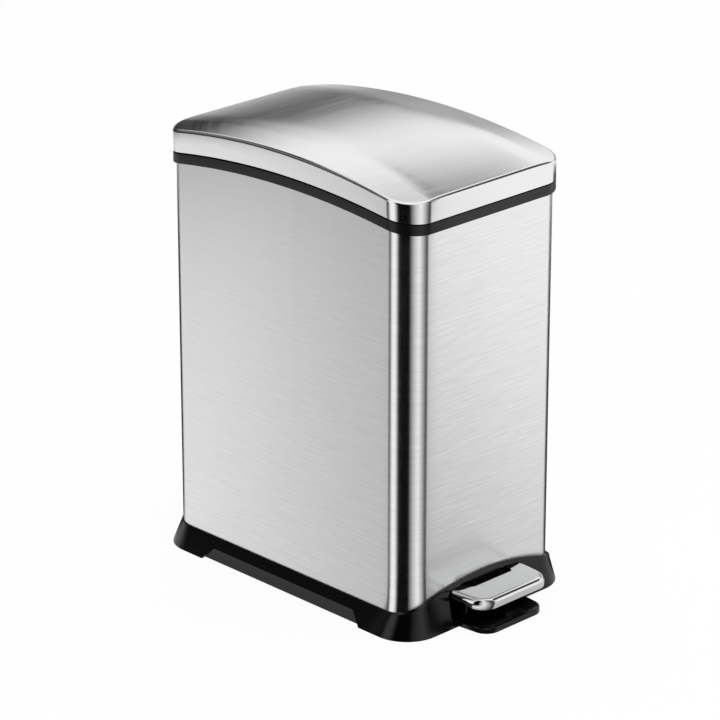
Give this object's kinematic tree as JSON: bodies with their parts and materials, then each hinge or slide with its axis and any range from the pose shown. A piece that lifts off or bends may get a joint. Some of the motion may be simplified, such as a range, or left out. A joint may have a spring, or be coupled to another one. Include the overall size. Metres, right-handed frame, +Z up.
{
  "type": "pedal trash can",
  "caption": "Slim rectangular pedal bin: brushed steel wrap on a flared black base, arched hinged lid lifted by a rod from a chrome foot pedal, lift-out inner bucket.",
  "frame": {"origin": "On the floor under the middle of the overall box, pedal included.", "axes": "+Z up, the tallest way; -Y is the pedal front; +X across the narrow width."},
  "size_m": [0.2072, 0.3516, 0.4126],
  "materials": {
    "brushed_stainless": "fine brushed",
    "black_plastic": "satin moulded",
    "plated_steel": "zinc plated",
    "grey_plastic": "moulded",
    "black_rubber": "matt",
    "polished_chrome": "polished",
    "black_painted_steel": "satin black",
    "bucket_plastic": "moulded"
  },
  "bodies": {
    "bin": {"outer_shell": "brushed_stainless", "top_rim": "black_plastic", "base": "black_plastic", "foot_plate": "black_plastic", "bottom_cover": "black_plastic", "rubber_feet": "black_rubber", "base_screws": "plated_steel", "hinge_housing": "black_plastic", "hinge_pin": "plated_steel", "hinge_screws": "plated_steel", "pivot_pin": "plated_steel", "pivot_clips": "plated_steel", "rod_guides": "grey_plastic", "damper_cylinder": "grey_plastic", "lid_bumpers": "black_rubber"},
    "lid": {"lid_shell": "brushed_stainless", "lid_liner": "black_plastic", "lid_hinge": "plated_steel", "lid_crank": "plated_steel", "lid_screws": "plated_steel"},
    "pedal": {"pedal_cap": "polished_chrome", "pedal_arm": "black_painted_steel", "pedal_screws": "plated_steel"},
    "rod": {"lift_rod": "plated_steel", "rod_clips": "plated_steel", "damper_piston": "grey_plastic"},
    "bucket": {"inner_bucket": "bucket_plastic"}
  },
  "joints": [
    {"name": "lid_hinge", "type": "hinge", "parent": "bin", "child": "lid", "pos_m": [0, 0.17175, 0.37433], "axis": [-1, 0, 0], "range_deg": [0, 72]},
    {"name": "rod_slide", "type": "slide", "parent": "bin", "child": "rod", "axis": [0, 0, 1], "range_m": [0, 0.02616]},
    {"name": "pedal_pivot", "type": "hinge", "parent": "bin", "child": "pedal", "pos_m": [0, -0.04925, 0.02], "axis": [1, 0, 0], "range_deg": [0, 7.38]},
    {"name": "bucket_lift", "type": "slide", "parent": "bin", "child": "bucket", "axis": [0, 0, 1], "range_m": [0, 0.015]}
  ],
  "couplings": [
    {"joint": "rod_slide", "follows": "lid_hinge", "m_per_rad": 0.020814},
    {"joint": "pedal_pivot", "follows": "lid_hinge", "ratio": 0.10249}
  ]
}
